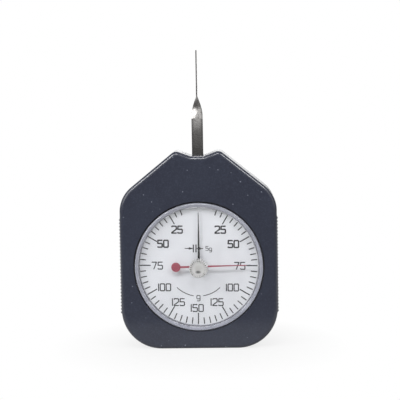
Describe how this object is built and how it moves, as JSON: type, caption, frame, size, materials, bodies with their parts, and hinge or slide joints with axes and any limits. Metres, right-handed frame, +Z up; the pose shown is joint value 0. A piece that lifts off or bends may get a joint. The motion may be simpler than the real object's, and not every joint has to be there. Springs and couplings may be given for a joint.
{
  "type": "force gauge",
  "caption": "Pocket dial force gauge: ribbed flat case, round dial with live and peak pointers, reset knob, and a sprung two-way feeler lever at the top.",
  "frame": {"origin": "middle of the footprint, on the surface that the case stands on", "axes": "+Z up along the feeler at rest, -Y out of the dial, +X to the right of the dial as it is read"},
  "size_m": [0.0628, 0.0262, 0.118],
  "materials": {
    "case_moulding": "fine matt texture, dark blue-grey moulded",
    "clear_acrylic": "clear polished",
    "knob_acrylic": "milky clear, fluted",
    "seal_rubber": "black",
    "dial_white": "cool white satin paint",
    "plate_brass": "fine brushed",
    "turned_brass": "turned",
    "bush_bronze": "turned bronze",
    "screw_steel": "slotted steel",
    "spring_steel": "tempered",
    "shaft_steel": "ground",
    "lever_steel": "fine brushed",
    "feeler_steel": "satin",
    "pointer_black": "gloss black",
    "peak_red": "satin red"
  },
  "bodies": {
    "case": {"front_case": "case_moulding", "rear_cover": "case_moulding", "case_screws": "screw_steel", "crystal": "clear_acrylic", "crystal_seal": "seal_rubber", "dial_plate": "dial_white", "front_plate": "plate_brass", "rear_plate": "plate_brass", "plate_pillars": "turned_brass", "plate_screws": "screw_steel", "movement_screws": "screw_steel", "staff_bush_front": "bush_bronze", "staff_bush_rear": "bush_bronze", "arbor_bush_front": "bush_bronze", "arbor_bush_rear": "bush_bronze", "spring_block": "turned_brass", "block_screws": "screw_steel", "leaf_spring_left": "spring_steel", "leaf_spring_right": "spring_steel", "spring_clamps": "turned_brass", "spring_screws": "screw_steel", "zero_stop": "turned_brass", "travel_stops": "turned_brass", "hairspring": "spring_steel", "hairspring_stud": "turned_brass"},
    "lever": {"lever_arm": "lever_steel", "sector_gear": "plate_brass", "sector_rivets": "turned_brass", "lever_staff": "shaft_steel", "feeler": "feeler_steel", "feeler_screws": "screw_steel", "drive_pin": "shaft_steel"},
    "pointer": {"pinion_arbor": "shaft_steel", "pointer": "pointer_black", "pointer_boss": "turned_brass", "hairspring_collet": "turned_brass", "drag_pin": "shaft_steel"},
    "peak_hand": {"reset_knob": "knob_acrylic", "peak_pointer": "peak_red", "peak_pointer_bush": "turned_brass", "friction_washer": "spring_steel"}
  },
  "joints": [
    {"name": "lever_swing", "type": "hinge", "parent": "case", "child": "lever", "pos_m": [0, 0.00285, 0.0616], "axis": [0, 1, 0], "range_deg": [-12, 12], "stiffness_Nm_per_rad": 0.4, "deforming": ["leaf_spring_left", "leaf_spring_right"]},
    {"name": "pointer_spin", "type": "hinge", "parent": "case", "child": "pointer", "pos_m": [0, 0, 0.0328], "axis": [0, 1, 0], "range_deg": [-180, 180], "deforming": ["hairspring"]},
    {"name": "peak_hand_turn", "type": "hinge", "parent": "case", "child": "peak_hand", "pos_m": [0, -0.006, 0.0328], "axis": [0, 1, 0], "range_deg": [-85, 265]}
  ],
  "couplings": [
    {"joint": "pointer_spin", "follows": "lever_swing", "ratio": -15}
  ]
}
